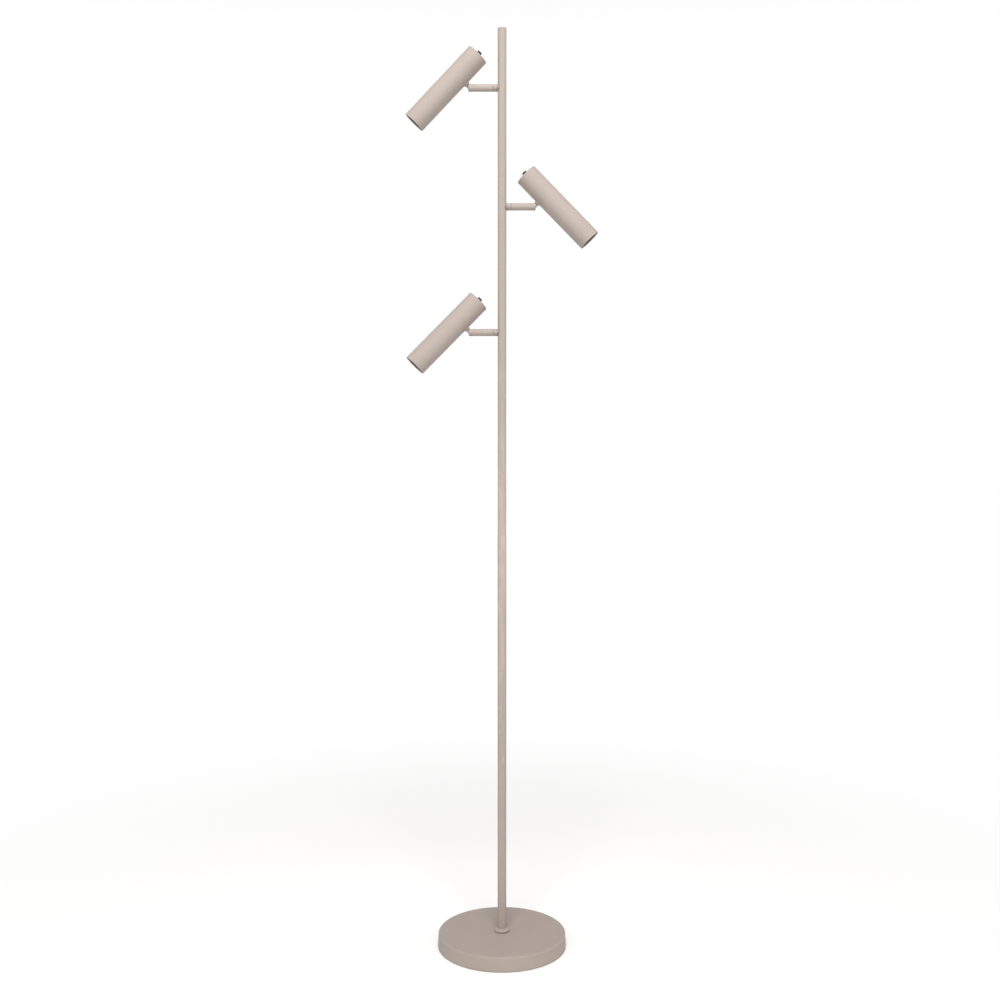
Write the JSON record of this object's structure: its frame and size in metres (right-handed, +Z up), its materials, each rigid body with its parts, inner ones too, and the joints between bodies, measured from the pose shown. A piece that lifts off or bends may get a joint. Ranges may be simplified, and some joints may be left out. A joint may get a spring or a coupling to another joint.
{
  "type": "tree floor lamp",
  "caption": "Floor lamp with a slim pole on a weighted disc base and slim cylindrical spot heads on short swivel arms, each head with its own push switch.",
  "frame": {"origin": "centre of the base's underside, on the floor and on the pole's axis", "axes": "+Z up along the pole, +X towards the side of the middle arm, -Y towards the viewer, +Y towards the cord inlet"},
  "size_m": [0.3306, 0.2301, 1.609],
  "materials": {
    "powder_coat": "matt sand-taupe fine-texture powder coat",
    "black_coat": "matt black",
    "iron": "raw casting",
    "plated_steel": "zinc plated",
    "bright_metal": "polished nickel",
    "black_plastic": "satin black",
    "washer": "dark",
    "pad": "foam",
    "rubber": "matt",
    "lead": "matt",
    "ceramic": "glazed",
    "lamp_white": "gloss",
    "lens_glass": "clear"
  },
  "bodies": {
    "stand": {"base_cover": "powder_coat", "base_weight": "iron", "base_pad": "pad", "cord_grommet": "rubber", "pole_collar": "powder_coat", "pole_foot": "plated_steel", "foot_nut": "plated_steel", "pole_lower": "powder_coat", "pole_coupler": "plated_steel", "pole_upper": "powder_coat", "pole_cap": "powder_coat", "pole_harness": "lead", "arm_boss_top": "powder_coat", "arm_boss_middle": "powder_coat", "arm_boss_low": "powder_coat", "swivel_nipples": "plated_steel", "swivel_washers": "washer", "swivel_nuts": "plated_steel"},
    "arm_top": {"arm_sleeve_top": "powder_coat", "arm_knuckle_top": "powder_coat", "tilt_screw_top": "plated_steel"},
    "head_top": {"head_stem_top": "powder_coat", "stem_nut_top": "plated_steel", "head_shell_top": "powder_coat", "rear_cap_top": "powder_coat", "switch_body_top": "bright_metal", "switch_nut_top": "bright_metal", "lamp_socket_top": "ceramic", "lamp_top": "lamp_white", "lamp_lens_top": "lens_glass", "baffle_ring_top": "black_coat"},
    "button_top": {"switch_button_top": "black_plastic"},
    "arm_middle": {"arm_sleeve_middle": "powder_coat", "arm_knuckle_middle": "powder_coat", "tilt_screw_middle": "plated_steel"},
    "head_middle": {"head_stem_middle": "powder_coat", "stem_nut_middle": "plated_steel", "head_shell_middle": "powder_coat", "rear_cap_middle": "powder_coat", "switch_body_middle": "bright_metal", "switch_nut_middle": "bright_metal", "lamp_socket_middle": "ceramic", "lamp_middle": "lamp_white", "lamp_lens_middle": "lens_glass", "baffle_ring_middle": "black_coat"},
    "button_middle": {"switch_button_middle": "black_plastic"},
    "arm_low": {"arm_sleeve_low": "powder_coat", "arm_knuckle_low": "powder_coat", "tilt_screw_low": "plated_steel"},
    "head_low": {"head_stem_low": "powder_coat", "stem_nut_low": "plated_steel", "head_shell_low": "powder_coat", "rear_cap_low": "powder_coat", "switch_body_low": "bright_metal", "switch_nut_low": "bright_metal", "lamp_socket_low": "ceramic", "lamp_low": "lamp_white", "lamp_lens_low": "lens_glass", "baffle_ring_low": "black_coat"},
    "button_low": {"switch_button_low": "black_plastic"}
  },
  "joints": [
    {"name": "arm_swivel_top", "type": "hinge", "parent": "stand", "child": "arm_top", "pos_m": [0, 0, 1.509], "axis": [-1, 0, 0], "range_deg": [-164, 166]},
    {"name": "head_tilt_top", "type": "hinge", "parent": "arm_top", "child": "head_top", "pos_m": [-0.0543, 0, 1.509], "axis": [0, -0.9998, -0.0175], "range_deg": [-26, 66]},
    {"name": "switch_press_top", "type": "slide", "parent": "head_top", "child": "button_top", "axis": [-0.6947, 0.0126, -0.7192], "range_m": [0, 0.0012], "stiffness_N_per_m": 800, "springref_m": -0.0005},
    {"name": "arm_swivel_middle", "type": "hinge", "parent": "stand", "child": "arm_middle", "pos_m": [0, 0, 1.3085], "axis": [1, 0, 0], "range_deg": [-160, 170]},
    {"name": "head_tilt_middle", "type": "hinge", "parent": "arm_middle", "child": "head_middle", "pos_m": [0.0543, 0, 1.3085], "axis": [0, 0.9962, -0.0872], "range_deg": [-26, 66]},
    {"name": "switch_press_middle", "type": "slide", "parent": "head_middle", "child": "button_middle", "axis": [0.6947, -0.0627, -0.7166], "range_m": [0, 0.0012], "stiffness_N_per_m": 800, "springref_m": -0.0005},
    {"name": "arm_swivel_low", "type": "hinge", "parent": "stand", "child": "arm_low", "pos_m": [0, 0, 1.0935], "axis": [-1, 0, 0], "range_deg": [-174.5, 155.5]},
    {"name": "head_tilt_low", "type": "hinge", "parent": "arm_low", "child": "head_low", "pos_m": [-0.0543, 0, 1.0935], "axis": [0, -0.9863, 0.165], "range_deg": [-26, 66]},
    {"name": "switch_press_low", "type": "slide", "parent": "head_low", "child": "button_low", "axis": [-0.6947, -0.1187, -0.7095], "range_m": [0, 0.0012], "stiffness_N_per_m": 800, "springref_m": -0.0005}
  ]
}
